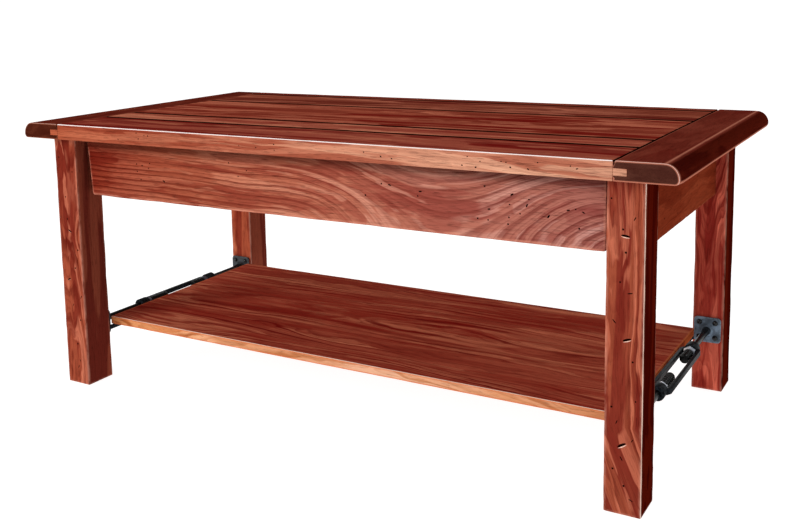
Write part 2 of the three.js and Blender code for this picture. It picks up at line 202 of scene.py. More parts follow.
def wood(name, grain, base, dark, light, line, seed=0, ring=0.009, pith=(0.0, -0.05), tilt=0.0, warp=1.0,
         line_amt=0.7, streak=None, streak_amt=0.0, light_amt=0.5, dark_amt=0.6, wear=(214, 160, 140), wear_amt=0.5,
         face=None, rough=0.46, line_band=(0.52, 0.88), side=None, streak_scale=1.0, gain=(1, 1, 1), shaded_side_gain=(1, 1, 1), solid_wear=0.0,
         face_gain=(1, 1, 1), painted_highlight=(240, 214, 200), painted_highlight_amt=0.9, crisp=0.5, lean=None, eye=None, spec=0.0, along=None, face_along=None, sfreq=1.0, stretch=1.0, cross=1.0):
    """Stained softwood: growth rings cut by the faces of the piece, long patches of lighter and darker stain,
    fibres, pores, worn arrises, dark joints, painted highlight lines on chosen arrises and dent lips, painted shade on
    the +X faces of some pieces and in grooves, and pits painted dark as shade in the hollows. face = (axis, sign,
    colours): a face that is stained differently."""
    n = Net(name)
    rnd = random.Random(seed)
    off = (rnd.uniform(-5, 5), rnd.uniform(-2, 2), rnd.uniform(-2, 2))
    tc, (X, Y, Z), p0 = coords(n, grain, (0, 0, 0))
    if lean:   # the grain runs out sideways beyond a point
        a_, b_, c_ = n.split(p0)
        p0 = n.xyz(a_, n.math("ADD", b_, n.math("MULTIPLY", n.math("MINIMUM", n.math("SUBTRACT", a_, lean[0]), 0.0), lean[1])), c_)
    p = n.vec("ADD", p0, off)
    a, b, c = n.split(p0)
    big = n.noise(n.vec("MULTIPLY", p, (2.2, 9.0, 9.0)), 1.0, 1.5, 0.5, color=True)
    mid = n.noise(n.vec("MULTIPLY", p, (11.0, 42.0, 42.0)), 1.0, 2.0, 0.55, color=True)
    bx, by, bz = n.split(big)
    mx, my, mz = n.split(mid)
    wb = n.math("ADD", n.math("MULTIPLY", n.math("SUBTRACT", bx, 0.5), 0.085 * warp), n.math("MULTIPLY", n.math("SUBTRACT", mx, 0.5), 0.011 * warp))
    wc = n.math("ADD", n.math("MULTIPLY", n.math("SUBTRACT", by, 0.5), 0.060 * warp), n.math("MULTIPLY", n.math("SUBTRACT", my, 0.5), 0.008 * warp))
    rb = n.math("ADD", n.math("SUBTRACT", b, pith[0]), wb)
    rc = n.math("ADD", n.math("ADD", n.math("SUBTRACT", c, pith[1]), n.math("MULTIPLY", a, tilt)), wc)
    r = n.vec("LENGTH", n.xyz(rb, rc, 0.0))
    if eye:    # straight grain that turns into nested arches about one point
        ea, ec, ek, e0, e1 = eye
        k_ = n.math("MULTIPLY", n.smooth(a, e0, e1), ek)
        r = n.vec("LENGTH", n.xyz(n.math("MULTIPLY", n.math("SUBTRACT", a, ea), k_), n.math("ADD", n.math("SUBTRACT", c, ec), wc), 0.0))
    uneven = n.noise(n.xyz(0.0, n.math("MULTIPLY", r, 40.0), 1.7), 1.0, 1.0, 0.5)   # years of slow and fast growth
    r = n.math("ADD", r, n.math("MULTIPLY", uneven, ring * 1.6))
    t = n.math("FRACT", n.math("DIVIDE", r, ring))
    l1 = n.smooth(t, *line_band)
    l2 = n.math("SUBTRACT", 1.0, n.smooth(t, 0.93, 1.0))
    lines = n.math("MULTIPLY", l1, l2)
    t2 = n.math("FRACT", n.math("DIVIDE", r, ring * 0.31))
    fine = n.math("MULTIPLY", n.smooth(t2, 0.45, 0.95), n.math("SUBTRACT", 1.0, n.smooth(t2, 0.94, 1.0)))
    # patches of stain
    stretched = n.vec("MULTIPLY", p, (5.0 * stretch, 30.0 * cross, 30.0 * cross))
    patch = n.noise(n.vec("ADD", stretched, n.vec("MULTIPLY", big, (2.2, 2.2, 2.2))), 1.0, 2.5, 0.55)
    follow = n.xyz(n.math("ADD", a, off[0]), n.math("ADD", r, off[1]), n.math("MULTIPLY", n.math("ADD", b, c), 0.25))   # follows the rings
    patch2 = n.noise(n.vec("ADD", n.vec("MULTIPLY", follow, (4.5 * stretch, 52.0 * cross, 52.0 * cross)), (7.3, 1.2, 4.1)), 1.0, 2.0, 0.55)
    amtv = n.noise(n.vec("ADD", n.vec("MULTIPLY", p, (3.0, 14.0, 14.0)), (3.1, 8.2, 2.1)), 1.0, 1.0, 0.5)
    fibre = n.noise(n.vec("MULTIPLY", p, (16.0, 520.0, 520.0)), 1.0, 2.0, 0.6)
    pores = n.noise(n.vec("MULTIPLY", p, (55.0, 1500.0, 1500.0)), 1.0, 0.0, 0.5)

    def tone(rgb, g):
        c_ = lin(rgb)
        return (min(1, c_[0] * g[0]), min(1, c_[1] * g[1]), min(1, c_[2] * g[2]), 1)
    half = 0.05 * (1 - crisp) + 0.006
    jit = n.vec("MULTIPLY", mid, (0.7, 0.7, 0.7))
    stroke = n.noise(n.vec("ADD", n.vec("ADD", n.vec("MULTIPLY", follow, (4.2 * stretch, 75.0 * sfreq, 60.0 * sfreq)), (2.3, 5.2, 9.1)), jit), 1.0, 1.6, 0.5)
    stroke2 = n.noise(n.vec("ADD", n.vec("ADD", n.vec("MULTIPLY", follow, (6.5 * stretch, 105.0 * sfreq, 80.0 * sfreq)), (6.3, 1.2, 3.1)), jit), 1.0, 1.2, 0.5)

    def paint(bc, dc, lc, ln):
        col = n.mix(n.math("MULTIPLY", n.smooth(patch, 0.52 - half, 0.52 + half), dark_amt), bc, dc)
        col = n.mix(n.math("MULTIPLY", n.smooth(patch2, 0.55 - half, 0.55 + half), light_amt), col, lc)
        col = n.mix(n.math("MULTIPLY", n.smooth(stroke, 0.56 - half, 0.56 + half), dark_amt * 0.8), col, dc)
        col = n.mix(n.math("MULTIPLY", n.smooth(stroke2, 0.60 - half, 0.60 + half), light_amt * 0.8), col, lc)
        k = n.math("MULTIPLY", n.math("ADD", 0.35, n.math("MULTIPLY", n.smooth(amtv, 0.35, 0.65), 0.65)), line_amt)
        col = n.mix(n.math("MULTIPLY", lines, k), col, ln)
        col = n.mix(n.math("MULTIPLY", n.math("MULTIPLY", fine, k), 0.55), col, ln)
        return col
    col = paint(tone(base, gain), tone(dark, gain), tone(light, gain), tone(line, gain))


    def drift(c_, stops):   # the stain changes slowly along the piece
        top = [max(v[i] for _, v in stops) for i in range(3)]
        k = n.ramp(n.math("ADD", n.math("MULTIPLY", a, 0.82), 0.5), [(q, (v[0] / top[0], v[1] / top[1], v[2] / top[2], 1)) for q, v in stops], "B_SPLINE")
        return n.mix(1.0, n.mix(1.0, c_, (*top, 1), "MULTIPLY"), k, "MULTIPLY")
    if along:
        col = drift(col, along)
    if streak:
        sn = n.noise(n.vec("ADD", n.vec("MULTIPLY", p, (4.2 * streak_scale * stretch, 34.0 * streak_scale, 34.0 * streak_scale)), n.vec("MULTIPLY", big, (1.5, 1.5, 1.5))), 1.0, 1.0, 0.4)
        col = n.mix(n.math("MULTIPLY", n.smooth(sn, 0.56, 0.575), streak_amt), col, tone(streak, gain))
    nx, ny, nz = n.split(tc.outputs["Normal"])
    if face:
        axis, sign, fb, fd, fl, fline = face
        comp = {"x": nx, "y": ny, "z": nz}[axis]
        m = n.smooth(n.math("MULTIPLY", comp, sign), 0.35, 0.75)
        fcol = paint(tone(fb, face_gain), tone(fd, face_gain), tone(fl, face_gain), tone(fline, face_gain))
        col = n.mix(m, col, drift(fcol, face_along) if face_along else fcol)
    if side:   # faces turned to +X get their own colours: darker on the legs and the right breadboard, painted shade on the side away from the key light; a lighter end colour on the shelf
        sb, sd, amt = side
        sm = n.mix(n.math("MULTIPLY", n.smooth(patch, 0.47, 0.56), 0.8), tone(sb, shaded_side_gain), tone(sd, shaded_side_gain))
        col = n.mix(n.math("MULTIPLY", n.smooth(nx, 0.18, 0.42), amt), col, sm)
    # fibres and pores
    col = n.mix(0.55, col, n.ramp(fibre, [(0.25, (0.72, 0.70, 0.68, 1)), (0.5, 1.0), (0.75, (1.12, 1.1, 1.08, 1))]), "MULTIPLY")
    pore_m = n.math("MULTIPLY", n.smooth(pores, 0.66, 0.74), 0.45)
    col = n.mix(pore_m, col, lin((30, 6, 3)))
    # worn arrises; on the front plank and the breadboards the same colour also paints highlight lines along chosen
    # arrises
    wn = n.noise(n.vec("MULTIPLY", p, (40.0, 130.0, 130.0)), 1.0, 2.0, 0.6)
    worn = n.math("MULTIPLY", n.math("MULTIPLY", n.attr("wear"), n.smooth(wn, 0.30 - 0.3 * solid_wear, 0.62 - 0.3 * solid_wear)), wear_amt)
    col = n.mix(worn, col, lin(wear))
    # painted highlights: pale lines along chosen arrises and on the lips under the dents
    col = n.mix(n.math("MULTIPLY", n.math("MAXIMUM", n.smooth(n.attr("painted_highlight"), 0.45, 0.85), n.attr("lip")), painted_highlight_amt), col, lin(painted_highlight))
    # near-black for dark joints, for painted shade in the grooves between planks and for a painted shadow under the
    # tabletop's front edge
    col = n.mix(n.attr("joint"), col, lin((18, 4, 2)))
    # the cut faces of holes, nicks and dents are painted near-black: painted shade in the hollows
    col = n.mix(n.attr("pit"), col, lin((22, 8, 5)))
    n.link(col, n.bsdf.inputs["Base Color"])
    rr = n.math("ADD", rough, n.math("MULTIPLY", n.math("SUBTRACT", fibre, 0.5), 0.30))
    rr = n.math("ADD", rr, n.math("MULTIPLY", lines, 0.07))
    n.link(n.math("ADD", rr, n.math("MULTIPLY", n.attr("pit"), 0.3), clamp=True), n.bsdf.inputs["Roughness"])
    h = n.math("MULTIPLY", lines, -0.55)
    h = n.math("ADD", h, n.math("MULTIPLY", fibre, 0.55))
    h = n.math("SUBTRACT", h, n.math("MULTIPLY", pore_m, 0.9))
    h = n.math("ADD", h, n.math("MULTIPLY", patch, 0.5))
    n.bump(h, 0.0006, 0.55)
    n.bsdf.inputs["Specular IOR Level"].default_value = spec
    n.bsdf.inputs["Specular Tint"].default_value = (1.0, 0.62, 0.52, 1)
    return n.mat


def metal(name, base, rough, metallic, worn, worn_amt=0.5, grime=(12, 10, 9), hammered=0.0, spec=0.5):
    """Painted or plated metal: uneven sheen, faint casting texture, bright rubbed edges, dull grime."""
    n = Net(name)
    tc = n.t.nodes.new("ShaderNodeTexCoord")
    p = tc.outputs["Object"]
    cloud = n.noise(p, 60.0, 3.0, 0.55)
    grit = n.noise(p, 900.0, 2.0, 0.6)
    scr = n.noise(n.vec("MULTIPLY", p, (900.0, 60.0, 900.0)), 1.0, 1.0, 0.5)
    col = n.mix(n.smooth(cloud, 0.35, 0.7), lin(base), lin(tuple(min(255, int(c * 1.35) + 6) for c in base)))
    col = n.mix(n.math("MULTIPLY", n.smooth(cloud, 0.62, 0.35), 0.35), col, lin(grime))
    edge = n.math("MULTIPLY", n.math("MULTIPLY", n.attr("wear"), n.smooth(n.noise(p, 260.0, 2.0, 0.6), 0.38, 0.60)), worn_amt)
    col = n.mix(edge, col, lin(worn))
    col = n.mix(n.attr("pit"), col, lin((8, 8, 9)))
    n.link(col, n.bsdf.inputs["Base Color"])
    n.bsdf.inputs["Metallic"].default_value = metallic
    rr = n.math("ADD", rough, n.math("MULTIPLY", n.math("SUBTRACT", cloud, 0.5), 0.25))
    rr = n.math("ADD", rr, n.math("MULTIPLY", n.math("SUBTRACT", scr, 0.5), 0.12))
    n.link(n.math("SUBTRACT", rr, n.math("MULTIPLY", edge, 0.12), clamp=True), n.bsdf.inputs["Roughness"])
    n.bsdf.inputs["Specular IOR Level"].default_value = spec
    h = n.math("ADD", n.math("MULTIPLY", grit, 0.35), n.math("MULTIPLY", cloud, 0.8 + hammered * 3))
    n.bump(h, 0.00025 + hammered * 0.0004, 0.5)
    return n.mat


# ------------------------------------------------------------------ mesh helpers


def finish_mesh(bm, name, body, mat, replaces=(), angle=32):
    me = bpy.data.meshes.new(name)
    bmesh.ops.recalc_face_normals(bm, faces=bm.faces)
    bm.to_mesh(me)
    bm.free()
    o = bpy.data.objects.new(name, me)
    scene.collection.objects.link(o)
    for p in me.polygons:
        p.use_smooth = True
    me.set_sharp_from_angle(angle=math.radians(angle))
    me.materials.append(mat)
    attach(o, body)
    if replaces:
        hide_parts(*replaces)
    return o


def rounded_section(corners, keep=3.0, arc_n=4, side=22.0):
    """corners: (u, v, radius) in mm, anticlockwise. Returns [(u, v, corner weight)], with extra points just
    outside each corner so that wear stays near it, and points along the long sides."""
    n = len(corners)
    arcs = []
    for i in range(n):
        (pu, pv, _), (u, v, r), (qu, qv, _) = corners[i - 1], corners[i], corners[(i + 1) % n]
        d0, d1 = Vector((pu - u, pv - v)), Vector((qu - u, qv - v))
        l0, l1 = d0.length, d1.length
        d0.normalize(), d1.normalize()
        ang = d0.angle(d1)
        if r <= 0:
            arcs.append(([(u, v)], None, 0, d0, d1, l0, l1, 1.0))
            continue
        t = min(r / math.tan(ang / 2), l0 * (0.48 if r < 15 else 0.75), l1 * (0.48 if r < 15 else 0.75))
        rr = t * math.tan(ang / 2)
        bis = (d0 + d1).normalized()
        cen = Vector((u, v)) + bis * (rr / math.sin(ang / 2))
        s, e = Vector((u, v)) + d0 * t - cen, Vector((u, v)) + d1 * t - cen
        a0, sweep = math.atan2(s.y, s.x), (math.pi - ang)
        cross = s.x * e.y - s.y * e.x
        k = max(arc_n, int(rr / 2.2))
        pts = [(cen.x + rr * math.cos(a0 + math.copysign(sweep, cross) * j / k), cen.y + rr * math.sin(a0 + math.copysign(sweep, cross) * j / k)) for j in range(k + 1)]
        arcs.append((pts, (cen.x, cen.y, rr, bis.x, bis.y, math.sin(ang / 2)), t, d0, d1, l0, l1, 1.0))
    out = []
    for i in range(n):
        pts, data, t, d0, d1, l0, l1, wgt = arcs[i]
        out += [(x, y, wgt, data) for x, y in pts]
        npts = arcs[(i + 1) % n]
        a, b = Vector(pts[-1]), Vector(npts[0][0])
        L = (b - a).length
        d = (b - a).normalized() if L > 1e-9 else Vector((0, 0))
        if L > keep * 2.6:
            m = max(1, int((L - 2 * keep) / side))
            for j in range(m + 1):
                q = a + d * (keep + (L - 2 * keep) * j / m)
                out.append((q.x, q.y, 0.0, None))
    return out


def loft(name, section, grain, lo, hi, body, mat, replaces, step=14.0, cham=1.2, wob=0.25, wear_depth=0.7, seed=0,
         move=None, end_keep=3.0, joint_ends=False, cutters=(), unions=(), end_painted_highlight=None, dark=None):
    """A long wooden piece: section (mm) run along the grain axis from lo to hi, with eased ends, slight
    hand-worked unevenness (always inwards) and knocked arrises. move(x, y, z) can bend it. Cuts are real."""
    rnd = random.Random(seed)
    so = Vector((rnd.uniform(-50, 50), rnd.uniform(-50, 50), rnd.uniform(-50, 50)))
    pts = [(q[0], q[1]) for q in section]
    n = len(pts)
    nrm = []
    for i in range(n):
        a, b, c = Vector(pts[i - 1]), Vector(pts[i]), Vector(pts[(i + 1) % n])
        t = ((b - a).normalized() + (c - b).normalized())
        nrm.append(Vector((t.y, -t.x)).normalized())
    area = sum(pts[i][0] * pts[(i + 1) % n][1] - pts[(i + 1) % n][0] * pts[i][1] for i in range(n))
    if area < 0:
        nrm = [-q for q in nrm]
    stations = [(lo, cham + 1.5, 0.0), (lo, cham, 1.0), (lo + cham * 0.35, cham * 0.35, 1.0), (lo + cham, 0.0, 0.9), (lo + cham + end_keep, 0.0, 0.0)]
    a0, b0 = lo + cham + end_keep, hi - cham - end_keep
    m = max(2, int((b0 - a0) / step))
    stations += [(a0 + (b0 - a0) * j / m, 0.0, 0.0) for j in range(1, m)]
    stations += [(b0, 0.0, 0.0), (hi - cham, 0.0, 0.9), (hi - cham * 0.35, cham * 0.35, 1.0), (hi, cham, 1.0), (hi, cham + 1.5, 0.0)]
    bm = bmesh.new()
    wl = bm.verts.layers.float.new("wear")
    jl = bm.verts.layers.float.new("joint")
    sl = bm.verts.layers.float.new("painted_highlight")
    rings = []
    for s, inset, ew in stations:
        ring = []
        for i, (u, v, cw, arc) in enumerate(section):
            q = so + Vector((s * 0.006, u * 0.03, v * 0.03))
            d = wob * (0.5 + 0.5 * noise.noise(q))
            if cw > 0:
                w = noise.noise(so + Vector((s * 0.021, u * 0.05, v * 0.05))) + 0.5 * noise.noise(so * 2 + Vector((s * 0.09, u * 0.05, v * 0.05)))
                d += wear_depth * max(0.0, w + 0.15)
            dd = inset + d if cw >= 0 else 0.0
            uu, vv = u - nrm[i].x * dd, v - nrm[i].y * dd
            if arc and dd > 0.85 * arc[2]:   # past the corner's radius: follow the mitre line inwards
                ru, rv = (u - arc[0]) / arc[2], (v - arc[1]) / arc[2]
                k = (dd - 0.85 * arc[2]) / arc[5]
                uu, vv = arc[0] + 0.15 * arc[2] * ru + arc[3] * k, arc[1] + 0.15 * arc[2] * rv + arc[4] * k
            x, y, z = {"x": (s, uu, vv), "y": (uu, s, vv), "z": (uu, vv, s)}[grain]
            if move:
                x, y, z = move(x, y, z)
            vert = bm.verts.new((x * MM, y * MM, z * MM))
            cap = inset > cham
            je = joint_ends(u, v) if callable(joint_ends) else joint_ends
            vert[wl] = 0.0 if cap else max(0.0, min(1.0, cw), ew if not joint_ends else 0.0)
            # the next attribute marks painted highlight lines (corners of weight 2, and end arrises picked by the end
            # function); the one after marks dark joints at the ends and, where dark(u, v) says, painted shade and
            # painted shadow
            vert[sl] = 1.0 if not cap and (cw > 1.5 or (end_painted_highlight and 0 < inset < cham and end_painted_highlight(s, u, v))) else 0.0
            vert[jl] = 1.0 if (je and (ew > 0.95 or cap)) else dark(u, v) if dark and not cap else 0.0
            ring.append(vert)
        rings.append(ring)
    for r0, r1 in zip(rings, rings[1:]):
        for i in range(n):
            j = (i + 1) % n
            bm.faces.new((r0[i], r0[j], r1[j], r1[i]))
    bm.faces.new(list(reversed(rings[0])))
    bm.faces.new(rings[-1])
    o = finish_mesh(bm, name, body, mat, replaces)
    if cutters:
        boolean(o, cutters, "DIFFERENCE")
    if unions:
        add_shells(o, unions)
    return o


def add_shells(o, bms):
    """Adds closed shells, such as tongues that butt on the end of a plank, to a piece."""
    bm = bmesh.new()
    bm.from_mesh(o.data)
    for b in bms:
        tmp = bpy.data.meshes.new("t")
        bmesh.ops.bevel(b, geom=list(b.edges), offset=0.4 * MM, segments=2, profile=0.5, affect="EDGES")
        bmesh.ops.recalc_face_normals(b, faces=b.faces)
        b.to_mesh(tmp)
        b.free()
        bm.from_mesh(tmp)
        bpy.data.meshes.remove(tmp)
    bm.to_mesh(o.data)
    bm.free()
    for p in o.data.polygons:
        p.use_smooth = True
    o.data.set_sharp_from_angle(angle=math.radians(32))


def boolean(o, bms, op):
    """Cuts or joins with one object made of the given closed bmeshes."""
    tool = bpy.data.meshes.new("tool")
    bm = bmesh.new()
    pl, sl = bm.faces.layers.float.new("pit"), bm.faces.layers.float.new("lip")
    for b in bms:
        lip = isinstance(b, tuple)
        b = b[0] if lip else b
        tmp = bpy.data.meshes.new("t")
        bmesh.ops.recalc_face_normals(b, faces=b.faces)
        b.to_mesh(tmp)
        b.free()
        n0 = len(bm.faces)
        bm.from_mesh(tmp)
        bm.faces.ensure_lookup_table()
        # faces cut by a hole or dent cutter are marked for painted shade, faces cut by a lip cutter for a painted
        # highlight
        for v in bm.faces[n0:]:
            v[pl], v[sl] = (0.0, 1.0) if lip else (1.0, 0.0)
        bpy.data.meshes.remove(tmp)
    bm.to_mesh(tool)
    bm.free()
    for p in tool.polygons:
        p.use_smooth = True
    t = bpy.data.objects.new("tool", tool)
    scene.collection.objects.link(t)
    md = o.modifiers.new("cut", "BOOLEAN")
    md.operation, md.object, md.solver = op, t, "EXACT"
    dg = bpy.context.evaluated_depsgraph_get()
    me = bpy.data.meshes.new_from_object(o.evaluated_get(dg))
    o.modifiers.clear()
    old = o.data
    o.data = me
    me.name = old.name
    bpy.data.meshes.remove(old)
    bpy.data.objects.remove(t)
    bpy.data.meshes.remove(tool)
    me.set_sharp_from_angle(angle=math.radians(32))


def blob(x, y, z, rx, ry, rz, turn=0.0, axis="Y", seg=8):
    """A small ellipsoid cutter, mm, turned about an axis."""
    bm = bmesh.new()
    bmesh.ops.create_uvsphere(bm, u_segments=seg, v_segments=max(4, seg // 2 + 1), radius=1.0)
    m = Matrix.Translation(Vector((x, y, z)) * MM) @ Matrix.Rotation(turn, 4, axis) @ Matrix.Diagonal((rx * MM, ry * MM, rz * MM, 1))
    bmesh.ops.transform(bm, matrix=m, verts=bm.verts)
    return bm


def crescent(x, y, z, w, depth, sign=-1, tilt=0.0):
    """A thumbnail-shaped dent, dark above as painted shade in the hollow, with a thin shallow cut below it painted
    bright: a painted highlight on its lip.
    """
    out = []
    for lip in (False, True):
        bm = bmesh.new()
        bmesh.ops.create_uvsphere(bm, u_segments=16, v_segments=10, radius=1.0)
        for v in bm.verts:
            u = v.co.x
            if lip:
                v.co.z = v.co.z * 0.10 * (1 - 0.5 * u * u) - 0.17 + 0.10 * u * u
            else:
                v.co.z = (v.co.z * 0.46 if v.co.z > 0 else v.co.z * 0.04) + 0.10 * u * u
        m = Matrix.Translation(Vector((x, y, z)) * MM) @ Matrix.Rotation(tilt, 4, "Y") @ Matrix.Diagonal((w * (1.05 if lip else 1.0) * MM, (0.7 if lip else depth) * MM, w * MM, 1))
        bmesh.ops.transform(bm, matrix=m, verts=bm.verts)
        out.append((bm, "lip") if lip else bm)
    return out


def holes(rnd, n, xr, y, zr, size=(0.8, 1.3), axis="y", scratch=0.25):
    """Worm holes and short nicks scattered over a face."""
    out = []
    for _ in range(n):
        x, z = rnd.uniform(*xr), rnd.uniform(*zr)
        r = rnd.uniform(*size)
        long = rnd.random() < scratch
        a, b = (r * 2.6, r * 0.55) if long else (r, r)
        ang = rnd.uniform(-1.2, 1.2)
        if axis == "y":
            out.append(blob(x, y, z, a, 1.6, b, ang, "Y"))
        elif axis == "x":
            out.append(blob(y, x, z, 1.6, a, b, ang, "X"))
        else:
            out.append(blob(x, z, y, a, b, 1.4, ang, "Z"))
    return out


def refine(node, mat, bevel=0.35, segs=2, name=None, angle=30):
    """A CAD node rebuilt with clean flat faces and small rounded edges."""
    src = NODES[node]
    bm = bmesh.new()
    bm.from_mesh(src.data)
    bmesh.ops.remove_doubles(bm, verts=bm.verts, dist=2e-6)
    bmesh.ops.dissolve_limit(bm, angle_limit=math.radians(2), verts=bm.verts, edges=bm.edges)
    wl = bm.verts.layers.float.new("wear")
    hard = [e for e in bm.edges if len(e.link_faces) == 2 and e.calc_face_angle(0) > math.radians(angle)]
    for e in hard:
        for v in e.verts:
            v[wl] = 1.0
    res = bmesh.ops.bevel(bm, geom=hard, offset=bevel * MM, segments=segs, profile=0.5, affect="EDGES", clamp_overlap=True)
    new = set(res["faces"])
    for v in bm.verts:
        v[wl] = 1.0 if any(f in new for f in v.link_faces) else 0.0
    body = src["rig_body"]
    return finish_mesh(bm, name or node + "_looks", body, mat, (node,), angle=40)


def lathe(name, prof, origin, axis, body, mat, seg=40, wear=()):
    """A turned piece: closed profile [(radius, along)] in mm about an axis through origin."""
    bm = bmesh.new()
    wl = bm.verts.layers.float.new("wear")
    rings = []
    for k, (r, s) in enumerate(prof):
        if r < 1e-6:
            v = bm.verts.new(place(0, 0, s, origin, axis))
            rings.append([v])
            continue
        ring = []
        for i in range(seg):
            a = 2 * math.pi * i / seg
            v = bm.verts.new(place(r * math.cos(a), r * math.sin(a), s, origin, axis))
            v[wl] = 1.0 if k in wear else 0.0
            ring.append(v)
        rings.append(ring)
    pairs = list(zip(rings, rings[1:]))
    if len(rings[0]) > 1:
        pairs.append((rings[-1], rings[0]))
    for r0, r1 in pairs:
        for i in range(seg):
            j = (i + 1) % seg
            if len(r0) == 1 and len(r1) == 1:
                continue
            if len(r0) == 1:
                bm.faces.new((r0[0], r1[j], r1[i]))
            elif len(r1) == 1:
                bm.faces.new((r0[i], r0[j], r1[0]))
            else:
                bm.faces.new((r0[i], r0[j], r1[j], r1[i]))
    return finish_mesh(bm, name, body, mat, (), angle=35)


def place(a, b, s, origin, axis):
    x, y, z = {"x": (s, a, b), "y": (a, s, b), "z": (a, b, s)}[axis]
    return ((origin[0] + x) * MM, (origin[1] + y) * MM, (origin[2] + z) * MM)


# ------------------------------------------------------------------ materials
PLANK_FACE = ("y", -1, (188, 108, 80), (152, 68, 46), (220, 146, 112), (112, 40, 26))
G = {
    "plank1_top": (1.711, 2.466, 2.546),
    "plank2_top": (1.629, 2.214, 2.246),
    "plank3_top": (1.483, 1.768, 1.801),
    "plank4_top": (1.4, 1.477, 1.506),
    "bread_r_top": (1.427, 1.227, 1.174),
    "bread_r_front": (0.828, 0.837, 0.837),
    "bread_r_edge": (1.051, 0.84, 0.834),
    "bread_l_front": (0.95, 1.018, 1.208),
    "legFR_front": (1.013, 1.106, 1.084),
    "legFR_side": (0.82, 0.42, 0.42),
    "legFL_front": (0.949, 1.018, 0.98),
    "legFL_side": (2.224, 4.165, 7.738),
    "legRR_front": (1.94, 1.882, 2.002),
    "legRR_side": (0.85, 0.48, 0.48),
    "legRL_front": (1.475, 1.761, 1.471),
    "side_apron": (1.125, 1.113, 1.12),
    "shelf": (2.411, 3.729, 3.356),
    "shelf_edge": (0.975, 1.282, 1.485),
    "front_edge_L": (0.552, 0.331, 0.266),
    "front_edge_M": (0.829, 0.812, 0.842),
    "front_edge_R": (1.071, 1.539, 1.804),
    "apron_L": (0.469, 0.165, 0.113),
    "apron_M": (1.12, 1.42, 1.2),
    "apron_R": (0.935, 1.45, 1.85),
    "plate": (1.907, 2.378, 2.81),
}


def g(key):
    return G.get(key, (1.0, 1.0, 1.0))


M = {}
TOP = dict(spec=0.0, crisp=0.8, dark_amt=0.7, light_amt=0.5, line_amt=0.25, rough=0.42, sfreq=0.7, stretch=0.38)
# on the front plank the near-white wear colour and the pale line colour both paint the highlight along the front top
# arris
M["plank_1"] = wood("wood_plank_1", "x", (120, 46, 34), (88, 16, 12), (150, 72, 52), (80, 18, 12), seed=11, ring=0.010, pith=(-0.26, 0.40), tilt=0.03,
                    streak=(84, 4, 4), streak_amt=0.8, face=PLANK_FACE, wear=(246, 226, 222), wear_amt=0.95, painted_highlight=(250, 236, 234), painted_highlight_amt=0.96,
                    gain=g("plank1_top"), face_along=[(0.10, g("front_edge_L")), (0.45, g("front_edge_M")), (0.85, g("front_edge_R"))], **TOP)
M["plank_2"] = wood("wood_plank_2", "x", (138, 62, 46), (108, 36, 26), (172, 92, 70), (84, 24, 16), seed=12, ring=0.011, pith=(-0.15, 0.40), tilt=0.02,
                    streak=(98, 14, 12), streak_amt=0.5, wear=(150, 84, 66), wear_amt=0.4, gain=g("plank2_top"), **TOP)
M["plank_3"] = wood("wood_plank_3", "x", (130, 56, 40), (100, 30, 20), (168, 88, 66), (86, 22, 14), seed=13, ring=0.012, pith=(0.01, 0.36), tilt=0.06,
                    streak=(92, 8, 6), streak_amt=0.85, wear=(60, 20, 12), wear_amt=0.4, gain=g("plank3_top"), **TOP)
M["plank_4"] = wood("wood_plank_4", "x", (122, 58, 42), (92, 32, 22), (166, 94, 72), (66, 20, 14), seed=14, ring=0.011, pith=(0.20, 0.44), tilt=0.04,
                    streak=(76, 8, 8), streak_amt=0.7, wear=(60, 20, 12), wear_amt=0.4, gain=g("plank4_top"), **TOP)
M["plank_5"] = wood("wood_plank_5", "x", (116, 50, 36), (92, 32, 24), (150, 80, 58), (76, 22, 14), seed=15, ring=0.010, pith=(0.30, 0.44), tilt=0.01,
                    streak=(84, 12, 10), streak_amt=0.5, wear=(180, 110, 90), wear_amt=0.6, gain=g("plank4_top"), **TOP)
# on the breadboards the wear colour covers worn end arrises and also the painted highlight lines along the rounded
# edge; the pale line colour is a painted highlight round the front end
M["bread_r"] = wood("wood_breadboard_right", "y", (96, 40, 30), (82, 30, 22), (108, 52, 40), (64, 18, 12), seed=21, ring=0.010, pith=(0.56, 0.40), tilt=0.03,
                    line_amt=0.3, light_amt=0.4, dark_amt=0.6, streak=(78, 16, 12), streak_amt=0.4, crisp=0.3, spec=0.0,
                    face=("y", -1, (80, 42, 33), (72, 35, 28), (92, 52, 42), (64, 28, 22)), side=((70, 20, 10), (52, 8, 4), 0.95),
                    wear=(188, 116, 94), wear_amt=0.85, solid_wear=0.8, painted_highlight=(240, 214, 204), painted_highlight_amt=0.85, gain=g("bread_r_top"), face_gain=g("bread_r_front"), shaded_side_gain=g("bread_r_edge"))
M["bread_l"] = wood("wood_breadboard_left", "y", (92, 36, 26), (76, 26, 18), (112, 54, 38), (62, 14, 10), seed=22, ring=0.010, pith=(-0.56, 0.40), tilt=-0.03,
                    line_amt=0.3, light_amt=0.4, dark_amt=0.6, streak=(70, 14, 10), streak_amt=0.4, crisp=0.3, spec=0.0,
                    face=("y", -1, (76, 31, 17), (62, 21, 10), (94, 44, 26), (52, 14, 7)),
                    wear=(150, 84, 60), wear_amt=0.6, solid_wear=0.5, painted_highlight=(236, 206, 194), painted_highlight_amt=0.7, gain=g("bread_r_top"), face_gain=g("bread_l_front"))
LEG = dict(ring=0.0085, sfreq=1.5, stretch=0.6, cross=1.5, line_amt=0.9, light_amt=0.75, dark_amt=0.8, warp=1.25, wear=(214, 150, 128), wear_amt=0.35, crisp=0.6, painted_highlight=(238, 206, 190), painted_highlight_amt=0.9)
